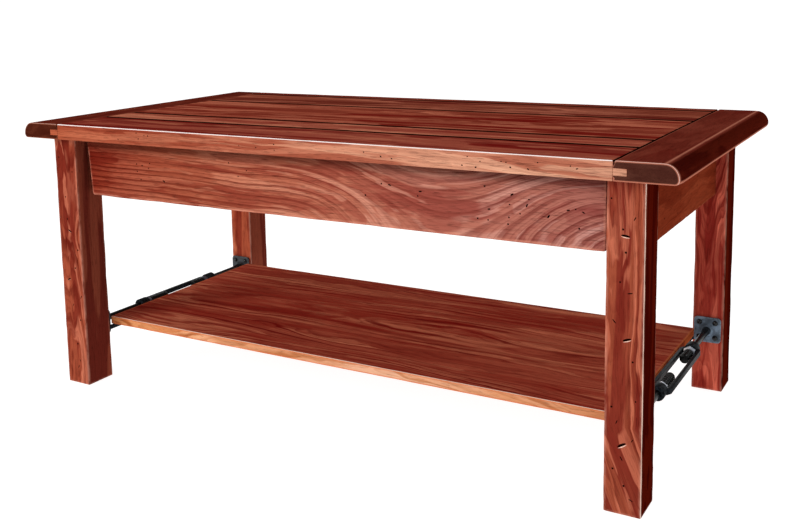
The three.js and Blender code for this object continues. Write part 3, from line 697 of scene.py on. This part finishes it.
# colours for the +X faces of the legs: painted shade
SHADED_SIDE = ((84, 26, 10), (58, 8, 3), 1.0)
M["leg_fr"] = wood("wood_leg_front_right", "z", (148, 68, 48), (112, 34, 26), (188, 100, 76), (92, 20, 14), seed=31, pith=(0.515, -0.345), tilt=0.03, side=SHADED_SIDE,
                   lean=(0.13, 0.42), gain=g("legFR_front"), shaded_side_gain=g("legFR_side"), **LEG)
M["leg_fl"] = wood("wood_leg_front_left", "z", (150, 68, 48), (114, 36, 26), (190, 104, 80), (94, 24, 16), seed=32, pith=(-0.55, -0.345), tilt=0.03, side=SHADED_SIDE,
                   gain=g("legFL_front"), shaded_side_gain=g("legFL_side"), **{**LEG, "painted_highlight_amt": 0.25})
M["leg_rr"] = wood("wood_leg_rear_right", "z", (130, 54, 40), (100, 26, 20), (168, 84, 64), (84, 18, 12), seed=33, pith=(0.54, 0.17), tilt=-0.05, side=SHADED_SIDE,
                   gain=g("legRR_front"), shaded_side_gain=g("legRR_side"), **{**LEG, "painted_highlight_amt": 0.25})
M["leg_rl"] = wood("wood_leg_rear_left", "z", (142, 62, 46), (108, 34, 26), (178, 94, 72), (90, 24, 16), seed=34, pith=(-0.53, 0.17), tilt=0.04, side=SHADED_SIDE,
                   gain=g("legRL_front"), shaded_side_gain=g("legFL_side"), **{**LEG, "painted_highlight_amt": 0.2})
M["apron_f"] = wood("wood_front_apron", "x", (166, 84, 66), (134, 50, 40), (196, 116, 96), (108, 34, 26), seed=41, ring=0.0105, pith=(-0.335, 0.405), tilt=0.0,
                    line_amt=0.8, warp=0.55, light_amt=0.65, dark_amt=0.6, wear=(214, 140, 116), wear_amt=0.5, crisp=0.6, eye=(0.56, 0.345, 0.55, -0.10, 0.42),
                    along=[(0.12, g("apron_L")), (0.45, g("apron_M")), (0.85, g("apron_R"))])
M["apron_s"] = wood("wood_side_apron", "y", (116, 44, 24), (96, 32, 16), (136, 62, 38), (80, 22, 10), seed=42, ring=0.010, pith=(0.60, 0.43), tilt=0.04,
                    line_amt=0.4, light_amt=0.3, dark_amt=0.35, wear=(170, 96, 66), wear_amt=0.3, crisp=0.2, gain=g("side_apron"))
M["apron_r"] = wood("wood_rear_apron", "x", (150, 68, 48), (118, 42, 30), (180, 96, 72), (98, 28, 18), seed=43, ring=0.010, pith=(0.33, 0.42), tilt=0.03,
                    line_amt=0.7, wear=(200, 130, 104), wear_amt=0.4, crisp=0.6, gain=g("apron_M"))
M["shelf"] = wood("wood_shelf", "x", (116, 42, 32), (94, 22, 16), (146, 70, 54), (78, 10, 8), seed=51, ring=0.021, pith=(-0.03, 0.155), tilt=0.035,
                  line_amt=1.0, warp=1.5, light_amt=0.5, dark_amt=0.5, sfreq=0.45, cross=0.6, stretch=0.45, painted_highlight=(250, 230, 216), painted_highlight_amt=0.9, solid_wear=1.0, streak=(92, 8, 6), streak_amt=0.4, crisp=0.7, spec=0.0,
                  face=("y", -1, (206, 128, 88), (190, 100, 54), (230, 156, 116), (166, 84, 44)), side=((150, 70, 34), (104, 34, 18), 0.9),
                  wear=(206, 112, 70), wear_amt=0.75, line_band=(0.70, 0.86), gain=g("shelf"), face_gain=g("shelf_edge"),
                  face_along=[(0.08, (1.0, 0.72, 0.42)), (0.30, (1.0, 1.0, 0.95)), (0.55, (1.22, 1.45, 1.8)), (0.80, (1.15, 1.35, 1.6)), (0.94, (0.95, 0.8, 0.6))])
M["inner"] = wood("wood_inner", "x", (132, 70, 44), (112, 52, 32), (156, 90, 60), (88, 40, 24), seed=61, ring=0.011, pith=(0.1, 0.33), tilt=0.04,
                  line_amt=0.5, wear=(170, 110, 76), wear_amt=0.3, rough=0.6)
M["iron"] = metal("black_iron", (9, 10, 11), 0.34, 0.0, (120, 136, 152), 0.06, spec=0.012)
M["rod"] = metal("black_rod", (9, 10, 11), 0.24, 0.0, (120, 136, 152), 0.1, spec=0.10)
M["plate"] = metal("slate_plate", (76, 88, 100), 0.40, 0.0, (132, 148, 162), 0.5, hammered=0.0, spec=0.15)
# darker copy of the plate material for the left turnbuckle: painted shade
M["plate_shaded"] = metal("slate_plate_shaded", (34, 37, 40), 0.40, 0.0, (110, 120, 130), 0.35, hammered=0.0, spec=0.3)
M["screw"] = metal("black_screw", (9, 9, 10), 0.14, 0.0, (90, 90, 100), 0.0, spec=0.3)
M["zinc"] = metal("zinc_steel", (196, 206, 222), 0.26, 0.25, (235, 240, 248), 0.5, grime=(90, 94, 100))
# darker copy of the zinc for the left nuts: painted shade
M["zinc_shaded"] = metal("zinc_shaded", (62, 68, 78), 0.30, 0.2, (150, 160, 175), 0.3, grime=(40, 42, 46))
M["lift"] = metal("lift_steel", (26, 27, 29), 0.42, 0.1, (110, 114, 120), 0.5, spec=0.4)

# ------------------------------------------------------------------ tabletop
TOPZ, TOPH = 479.5, 508.0
XI = 519.7
YB = [-317.5, -195, -117, 126, 276, 317.5]
VG = 4.6
rnd = random.Random(7)


def box_bm(x0, x1, y0, y1, z0, z1):
    bm = bmesh.new()
    bmesh.ops.create_cube(bm, size=1.0)
    m = Matrix.Translation(Vector(((x0 + x1) / 2, (y0 + y1) / 2, (z0 + z1) / 2)) * MM) @ Matrix.Diagonal(((x1 - x0) * MM, (y1 - y0) * MM, (z1 - z0) * MM, 1))
    bmesh.ops.transform(bm, matrix=m, verts=bm.verts)
    return bm


for i in range(5):
    y0 = YB[i] + (0 if i == 0 else 0.3)
    y1 = YB[i + 1] - (0 if i == 4 else 0.3)
    cs = [(y0, TOPZ, 1.0 if i == 0 else 0.3), (y1, TOPZ, 1.0 if i == 4 else 0.3)]
    if i == 4:
        cs += [(y1, TOPH, 2.0)]
    else:
        cs += [(y1, TOPH - VG * 1.35, 0.5), (y1 - VG, TOPH, 0.8)]
    if i == 0:
        cs += [(y0, TOPH, 1.7)]
    else:
        cs += [(y0 + VG, TOPH, 0.8), (y0, TOPH - VG * 1.35, 0.5)]
    sec = rounded_section(cs, keep=2.2, side=16)
    # weight 2 on the front top arris of the front plank: a painted highlight line; the lower front arris gets none
    sec = [(u, v, (2.0 if w > 0 and u > y0 + 0.05 and v > TOPH - 1.4 and v < TOPH - 0.02 else 0.0) if (i == 0 and u < y0 + 3 and v > TOPH - 4) else 0.0 if (i == 0 and v < TOPZ + 4) else w if (i == 4 and u > y1 - 3) else 0.0 if v > TOPH - 0.2 else w * 0.5, q) for u, v, w, q in sec]
    cuts = []
    if i == 0:   # worm holes along the front edge
        r2 = random.Random(91)
        spots = []
        for cx, k in ((-330, 7), (-60, 6), (150, 4), (330, 9), (440, 5)):
            for _ in range(k):
                px, pz = cx + r2.uniform(-46, 46), r2.uniform(485, 502)
                if any(math.hypot(px - q[0], pz - q[1]) < 6 for q in spots):
                    continue
                spots.append((px, pz))
                cuts.append(blob(px, y0, pz, r2.uniform(.9, 1.9), 1.5, r2.uniform(.8, 1.2), r2.uniform(-.8, .8), "Y"))
    unions = [box_bm(XI, 538.4, y0, y1, 487.2, 497.4), box_bm(-538.4, -XI, y0, y1, 487.2, 497.4)]
    # the groove faces between planks are painted near-black: dark joints with painted shade in the grooves
    loft(f"plank_{i + 1}_looks", sec, "x", -XI, XI, "top", M[f"plank_{i + 1}"], (f"top_plank_{i + 1}",),
         step=15, cham=1.3, wob=0.22, wear_depth=0.35, seed=100 + i, joint_ends=lambda u, v, y0=y0, i=i: not (i == 0 and u < y0 + 1.9 and v < TOPH - 1.5), unions=unions, cutters=cuts,
         dark=lambda u, v, y0=y0, y1=y1, i=i: 1.0 if (v > 490 and ((i > 0 and u < y0 + VG + 1.0) or (i < 4 and u > y1 - VG - 1.0))) else 0.0)

R, r = 21.0, 7.0
for side, sx in (("right", 1), ("left", -1)):
    X1 = 609.5
    cs = [(520, TOPZ, 0.3), (X1, TOPZ, r), (X1, TOPH, R), (520 + 2.8, TOPH, 0.8), (520, TOPH - 2.8 * 1.35, 0.5),
          (520, 497.7, 0), (539, 497.7, 0), (539, 486.9, 0), (520, 486.9, 0)]
    sec = rounded_section(cs, keep=2.5, side=16)
    mirror = (lambda q: (sx * q[0], q[1], q[2], sx * q[3], q[4], q[5]) if q else None)
    # painted highlight lines: one where the top turns over into the rounded edge, and a fainter one along the lower
    # arris
    sec = [(sx * u, v, -1.0 if (u < 540 and 486 < v < 498.5) else 1.0 if ((587.9 < u < 590 and v > 506.0) or (u > 606 and v < 484)) else 0.0 if u > 580 else w * 0.3, mirror(q)) for u, v, w, q in sec]
    if sx < 0:
        sec = list(reversed(sec))

    def round_corner(x, y, z, X1=X1):
        """The outer corners of the breadboard are eased a little in plan."""
        d = max(0.0, abs(y) - (317.5 - 14)) / 14
        t = max(0.0, (abs(x) - 575) / 34.5)
        return (math.copysign(abs(x) - (2.6 if y < 0 else 1.2) * d * d * t, x), y, z)
    # the outline round the front end is a painted highlight; the face next to the planks above the tongue is painted
    # near-black as shade in the groove
    loft(f"breadboard_{side}_looks", sec, "y", -317.5, 317.5, "top", M["bread_" + side[0]], (f"breadboard_{side}",),
         step=12, cham=1.0, wob=0.25, wear_depth=0.35, seed=120 + sx, move=round_corner, end_painted_highlight=lambda s_, u, v: s_ < 0 and (v > 507.5 or (abs(u) > 590 and v > 480.5)),
         dark=lambda u, v: 1.0 if abs(u) < 521.9 and v > 499 else 0.0)

# ------------------------------------------------------------------ legs
LX0, LX1, LY0, LY1 = 503.6, 558.0, 229.6, 292.3


def leg(name, sx, sy, mat, node, seed, cutters):
    xs = sorted((sx * LX0, sx * LX1))
    ys = sorted((sy * LY0, sy * LY1))
    sec = rounded_section([(xs[0], ys[0], 1.8), (xs[1], ys[0], 1.8), (xs[1], ys[1], 1.8), (xs[0], ys[1], 1.8)], keep=3.2, arc_n=3, side=17)
    # the corner towards the front right carries a painted highlight line along its whole height
    sec = [(u, v, 2.0 if w > 0 and xs[1] - 3 < u < xs[1] - 0.05 and ys[0] + 0.05 < v < ys[0] + 3 and sx * -sy > 0 else w, q) for u, v, w, q in sec]
    return loft(name, sec, "z", 0.0, 479.2, "base", mat, (node,), step=9, cham=1.2, wob=0.35, wear_depth=1.0, seed=seed, cutters=cutters)


def leg_cuts(sx, sy, seed, n=12, skip=(400, 254, 102, 300, 205, 190, 350)):
    """Worm holes on every outward face."""
    r2 = random.Random(seed)
    out = []
    y = sy * LY1
    x = sx * LX1
    xr = sorted((sx * (LX0 + 6), sx * (LX1 - 6)))
    yr = sorted((sy * (LY0 + 6), sy * (LY1 - 6)))
    for k in range(n):
        z = 20 + 440 * (k + 0.55 * r2.random()) / n
        if not any(abs(z - q) < 9 for q in skip):
            out += holes(r2, 1, xr, y, (z, z + 1), (1.15, 1.75), "y")
        if k % 4 == 0:
            out += holes(r2, 1, yr, x, (z + 12, z + 16), (1.1, 1.6), "x")
    return out


cuts = leg_cuts(1, -1, 301, 24)
for cx, cz, w, tilt in ((530.7, 400, 6.4, 0.12), (534.9, 254.8, 6.4, -0.35), (530.0, 101.9, 7.2, -0.55)):
    cuts += crescent(cx, -LY1, cz, w, 3.0, -1, tilt)
leg("leg_front_right_looks", 1, -1, M["leg_fr"], "leg_front_right", 131, cuts)
cuts = leg_cuts(-1, -1, 302, 18)
cuts += crescent(-531, -LY1, 300, 5.0, 2.6, -1, 0.5)
cuts += crescent(-540, -LY1, 205, 4.6, 2.4, -1, -0.4)
leg("leg_front_left_looks", -1, -1, M["leg_fl"], "leg_front_left", 132, cuts)
leg("leg_rear_right_looks", 1, 1, M["leg_rr"], "leg_rear_right", 133, leg_cuts(1, 1, 303, 9) + crescent(532, LY1, 190, 6, 2.6))
leg("leg_rear_left_looks", -1, 1, M["leg_rl"], "leg_rear_left", 134, leg_cuts(-1, 1, 304, 9) + crescent(-529, LY1, 350, 6, 2.6))

# ------------------------------------------------------------------ aprons
ZT = 479.2
r2 = random.Random(55)
cuts, spots = [], []
for cx, cz, k, sx_, sz_ in ((-345, 425, 9, 42, 22), (-120, 440, 3, 50, 20), (150, 430, 6, 60, 24), (330, 425, 12, 55, 34), (440, 410, 5, 30, 24)):
    for _ in range(k):
        long = r2.random() < 0.3
        px, pz = cx + r2.uniform(-sx_, sx_), cz + r2.uniform(-sz_, sz_)
        if any(math.hypot(px - q[0], pz - q[1]) < 8 for q in spots):
            continue
        spots.append((px, pz))
        cuts.append(blob(px, -272, pz, r2.uniform(1.2, 1.7) * (2.0 if long else 1), 2.0, r2.uniform(1.0, 1.4), r2.uniform(-1.2, 1.2), "Y"))


def slant(x, y, z):
    """The left end leans in towards the bottom; the lower corners are rounded off."""
    t = max(0.0, 1 - (x + 494) / 90)
    x += 8.5 * min(1.0, (ZT - z) / 109.4) * t
    low = max(0.0, (369.8 + 7 - z) / 7)
    for end, s in ((-485.5, 1), (497.4, -1)):
        d = max(0.0, 1 - abs(x - end) / 7)
        x += s * 2.2 * low * low * d
    return x, y, z


sec = rounded_section([(-272, 369.8, 3.0), (-253, 369.8, 1.2), (-253, ZT, 0.5), (-272, ZT, 0.6)], keep=3, side=10)
# the top band of the front apron is painted darker in two steps: a painted shadow under the tabletop's front edge
loft("front_apron_looks", sec, "x", -493.5, 497.4, "top", M["apron_f"], ("front_apron",), step=12, cham=1.8, wob=0.3, wear_depth=0.9, seed=141, move=slant, cutters=cuts,
     dark=lambda u, v: 0.62 if v > 470 else 0.45 if v > 460 else 0.0)
for side, sx in (("right", 1), ("left", -1)):
    xs = sorted((sx * 518, sx * 538))
    sec = rounded_section([(xs[0], 365, 1.2), (xs[1], 365, 1.2), (xs[1], ZT, 0.4), (xs[0], ZT, 0.4)], keep=3, side=14)
    r3 = random.Random(70 + sx)
    loft(f"side_apron_{side}_looks", sec, "y", -229.3, 229.3, "base", M["apron_s"], (f"side_apron_{side}",), step=14, cham=0.6, wob=0.25,
         wear_depth=0.4, seed=150 + sx, cutters=holes(r3, 9, (-190, 190), sx * 538, (378, 465), (1.0, 1.5), "x"))
sec = rounded_section([(252, 372, 1.2), (272, 372, 1.8), (272, ZT, 0.4), (252, ZT, 0.4)], keep=3, side=14)
loft("rear_apron_looks", sec, "x", -503.3, 503.3, "base", M["apron_r"], ("rear_apron",), step=14, cham=0.6, wob=0.25, wear_depth=0.5, seed=160,
     cutters=holes(random.Random(75), 16, (-460, 460), 272, (385, 465), (1.0, 1.5), "y"))
sec = rounded_section([(-249.3, 373, 1.0), (-231.3, 373, 1.0), (-231.3, 470, 1.2), (-249.3, 470, 1.2)], keep=3, side=14)
loft("inner_front_rail_looks", sec, "x", -503.3, 503.3, "base", M["inner"], ("inner_front_rail",), step=20, cham=0.5, wob=0.2, wear_depth=0.3, seed=161)
for node in ("compartment_floor", "floor_cleat_front", "floor_cleat_rear"):
    refine(node, M["inner"], bevel=0.6)

# ------------------------------------------------------------------ lower shelf
sec = rounded_section([(-221, 101.8, 1.2), (221, 101.8, 1.2), (221, 116.7, 1.0), (-221, 116.7, 1.0)], keep=2.6, side=17)
# weight 2 on the front top arris: a painted highlight line
sec = [(u, v, 2.0 if w > 0 and u < -215 and v > 116.2 else w, q) for u, v, w, q in sec]
loft("lower_shelf_looks", sec, "x", -508.5, 508.5, "base", M["shelf"], ("lower_shelf",), step=15, cham=0.8, wob=0.2, wear_depth=0.4, seed=170)
for side in ("left", "right"):
    refine(f"shelf_hanger_{side}", M["iron"], bevel=0.4)

# ------------------------------------------------------------------ turnbuckles
TX = 531.0


def threaded(inner, outer, r, pitch=1.75, depth=0.55):
    """Profile of a threaded length as fine ridges (rings) between two positions."""
    out, s = [], inner
    while s + pitch <= outer:
        out += [(r - depth, s), (r, s + pitch * 0.35), (r, s + pitch * 0.6)]
        s += pitch
    return out


for side, sx, TZ in (("right", 1, 115.5), ("left", -1, 107.0)):
    for end, sy, inner in (("rear", 1, 52.0), ("front", -1, 35.0)):
        org = (sx * TX, 0, TZ)
        # plate: rounded square with a soft rim, slightly raised centre
        q, rr = 23.5, 6.5
        bm = bmesh.new()
        wl = bm.verts.layers.float.new("wear")
        outline = []
        for cx_, cz_, a0 in ((1, -1, -90), (1, 1, 0), (-1, 1, 90), (-1, -1, 180)):
            for k in range(9):
                a = math.radians(a0 + 90 * k / 8)
                outline.append((cx_ * (q - rr) + rr * math.cos(a), cz_ * (q - rr) + rr * math.sin(a)))
        rings = []
        for inset, depth, wv in ((0.3, 0.0, 0), (0, 0.5, 0), (0, 1.9, 0.8), (0.35, 2.6, 1.0), (1.1, 3.0, 0.6), (3.5, 3.0, 0.0), (12.0, 3.0, 0.0)):
            f = (q - inset) / q
            ring = []
            for u, v in outline:
                k = 1.0
                vert = bm.verts.new(((sx * TX + u * f * k) * MM, sy * (226.2 - depth) * MM, (TZ + v * f * k) * MM))
                vert[wl] = wv
                ring.append(vert)
            rings.append(ring)
        m_ = len(outline)
        for r0, r1 in zip(rings, rings[1:]):
            for i in range(m_):
                j = (i + 1) % m_
                bm.faces.new((r0[i], r0[j], r1[j], r1[i]))
        bm.faces.new(rings[0])
        bm.faces.new(rings[-1])
        # the left side's plate and collar take the darker copy of the plate material: painted shade
        finish_mesh(bm, f"plate_{side}_{end}_looks", "base", M["plate" if side == "right" else "plate_shaded"], (f"turnbuckle_plate_{side}_{end}",), angle=50)
        # four domed screws, and the flared collar that the rod grows out of
        for ux in (-1, 1):
            for uz in (-1, 1):
                o_ = (sx * TX + ux * 13.8, sy * 223.2, TZ + uz * 13.8)
                prof = [(0, 0.4), (4.75, 0.4), (4.9, -0.3), (4.75, -1.0), (4.3, -1.9), (3.4, -2.65), (2.2, -3.15), (1.1, -3.4), (0, -3.48)]
                lathe(f"screw_{side}_{end}_{'r' if ux > 0 else 'l'}{'t' if uz > 0 else 'b'}", [(a, sy * b) for a, b in prof], o_, "y", "base", M["screw"], seg=24, wear=(3, 4))
        collar = [(0, 223.6), (11.2, 223.6), (11.2, 222.6), (10.4, 221.6), (9.2, 220.2), (8.3, 218.6), (7.9, 217.8), (0, 217.8)]
        lathe(f"collar_{side}_{end}_looks", [(a, sy * b) for a, b in collar], (sx * TX, 0, TZ), "y", "base", M["plate" if side == "right" else "plate_shaded"], seg=36, wear=())
        prof = [(0, 218.0), (7.6, 218.0), (7.4, 215.5), (7.1, 211.5), (6.5, 205.0), (5.9, 196.0), (5.8, 190.0)]
        body_prof = prof + [(5.8, 104.0), (5.8, 86.0)] + [(7.2, 85.4)] + list(reversed(threaded(inner + 3.0, 84.6, 8.3, 2.2, 0.5))) + [(7.6, inner + 1.4), (6.4, inner + 0.3), (5.6, inner), (0, inner)]
        lathe(f"rod_{side}_{end}_looks", [(a, sy * b) for a, b in body_prof], (sx * TX, 0, TZ), "y", "base", M["rod"], seg=36, wear=(2, 3))
        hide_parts(f"turnbuckle_rod_{side}_{end}")
        # hex nut: six flats with chamfered corners
        bm = bmesh.new()
        wl = bm.verts.layers.float.new("wear")
        ha, hb, R6 = 86.4, 94.6, 10.5
        seg6 = 24
        rings = []
        for rad_c, s in ((6.2, ha), (8.6, ha), (99, ha + 1.4), (99, hb - 1.4), (8.6, hb), (6.2, hb)):
            ring = []
            for k in range(seg6):
                a = 2 * math.pi * k / seg6
                ph = ((a + math.pi / 6) % (math.pi / 3)) - math.pi / 6
                hexr = (R6 * math.cos(math.pi / 6)) / math.cos(ph)
                rad = min(rad_c, hexr) if rad_c < 99 else hexr
                v = bm.verts.new(((sx * TX + rad * math.cos(a)) * MM, sy * s * MM, (TZ + rad * math.sin(a)) * MM))
                v[wl] = 1.0 if rad_c == 99 and abs(ph) > 0.4 else 0.0
                ring.append(v)
            rings.append(ring)
        for r0, r1 in zip(rings, rings[1:] + rings[:1]):
            for i in range(seg6):
                j = (i + 1) % seg6
                bm.faces.new((r0[i], r0[j], r1[j], r1[i]))
        # the left nuts take the darker copy of the zinc: painted shade
        finish_mesh(bm, f"nut_{side}_{end}_looks", f"nut_{side}_{end}", M["zinc" if side == "right" else "zinc_shaded"], (f"turnbuckle_nut_{side}_{end}",), angle=20)
    # forged body: the CAD frame, softened
    o = refine(f"turnbuckle_body_{side}", M["iron"], bevel=1.1, segs=3)

# ------------------------------------------------------------------ lift mechanism
for side, sx in (("right", 1), ("left", -1)):
    for n_ in ("lift_base_bracket", "lift_front_arm", "lift_rear_arm", "lift_top_bracket"):
        refine(f"{n_}_{side}", M["lift"], bevel=0.4)
    for n_ in ("lift_front_lower_pin", "lift_rear_lower_pin", "lift_front_upper_pin", "lift_rear_upper_pin"):
        refine(f"{n_}_{side}", M["zinc"], bevel=0.5)
    # torsion spring: smooth round wire
    turns, rad, wire = 5, 13.2, 1.7
    bm = bmesh.new()
    steps, ns = turns * 28, 10
    prev = None
    x0 = 468
    cen = []
    for i in range(steps + 1):
        t = i / 28
        a = -math.pi / 2 + t * 2 * math.pi
        cen.append(Vector((sx * (x0 + 4.6 * t), -10 + rad * math.cos(a), 407.5 + rad * math.sin(a))))
    rings = []
    for i, c_ in enumerate(cen):
        tan = (cen[min(i + 1, steps)] - cen[max(i - 1, 0)]).normalized()
        radial = Vector((0, c_.y + 10, c_.z - 407.5)).normalized()
        bi = tan.cross(radial).normalized()
        radial = bi.cross(tan).normalized()
        rings.append([bm.verts.new((c_ + (radial * math.cos(2 * math.pi * k / ns) + bi * math.sin(2 * math.pi * k / ns)) * wire) * MM) for k in range(ns)])
    for r0, r1 in zip(rings, rings[1:]):
        for i in range(ns):
            j = (i + 1) % ns
            bm.faces.new((r0[i], r0[j], r1[j], r1[i]))
    bm.faces.new(rings[0])
    bm.faces.new(rings[-1])
    finish_mesh(bm, f"spring_{side}_looks", "base", M["lift"], (f"lift_spring_{side}",), angle=60)
refine("lift_torque_tube", M["lift"], bevel=0.5)

# ------------------------------------------------------------------ floor and light
fm = Net("floor_pale")
fm.bsdf.inputs["Base Color"].default_value = (0.38, 0.38, 0.38, 1)
fm.bsdf.inputs["Roughness"].default_value = 0.9
fm.bsdf.inputs["Specular IOR Level"].default_value = 0.0
fm.bsdf.inputs["Emission Color"].default_value = (1, 1, 1, 1)
fm.bsdf.inputs["Emission Strength"].default_value = 0.92
bm = bmesh.new()      # a wide pale floor that curves up far away, like a studio cyclorama
rings = []
for rad, h in ((12.0, 0.0), (26.0, 0.0), (34.0, 0.8), (42.0, 3.2), (48.0, 7.0), (52.0, 12.0)):
    rings.append([bm.verts.new((rad * math.cos(2 * math.pi * k / 96), rad * math.sin(2 * math.pi * k / 96), h - 0.0004)) for k in range(96)])
for r0, r1 in zip(rings, rings[1:]):
    for k in range(96):
        bm.faces.new((r0[k], r0[(k + 1) % 96], r1[(k + 1) % 96], r1[k]))
bm.faces.new(rings[0])
me = bpy.data.meshes.new("floor")
bmesh.ops.recalc_face_normals(bm, faces=bm.faces)
bm.to_mesh(me)
bm.free()
for q in me.polygons:
    q.use_smooth = len(q.vertices) == 4
floor = bpy.data.objects.new("floor", me)
scene.collection.objects.link(floor)
floor.data.materials.append(fm.mat)

world = bpy.data.worlds.new("studio")
scene.world = world
world.use_nodes = True
world.node_tree.nodes["Background"].inputs[0].default_value = (1, 1, 1, 1)
world.node_tree.nodes["Background"].inputs[1].default_value = 0.5


def area(name, loc, target, size, power, color=(1, 1, 1)):
    d = bpy.data.lights.new(name, "AREA")
    d.shape, d.size, d.energy, d.color = "DISK", size, power, color
    o = bpy.data.objects.new(name, d)
    scene.collection.objects.link(o)
    o.location = loc
    o.rotation_euler = (Vector(target) - Vector(loc)).to_track_quat("-Z", "Y").to_euler()
    return o


area("key", (-1.7, -3.2, 1.9), (0, 0, 0.3), 1.6, 75, (1.0, 0.98, 0.95))
area("rim", (1.5, 2.6, 2.4), (0, 0, 0.4), 1.2, 18)

scene.view_settings.view_transform = "Standard"
scene.view_settings.look = "None"
scene.view_settings.exposure = 0.0
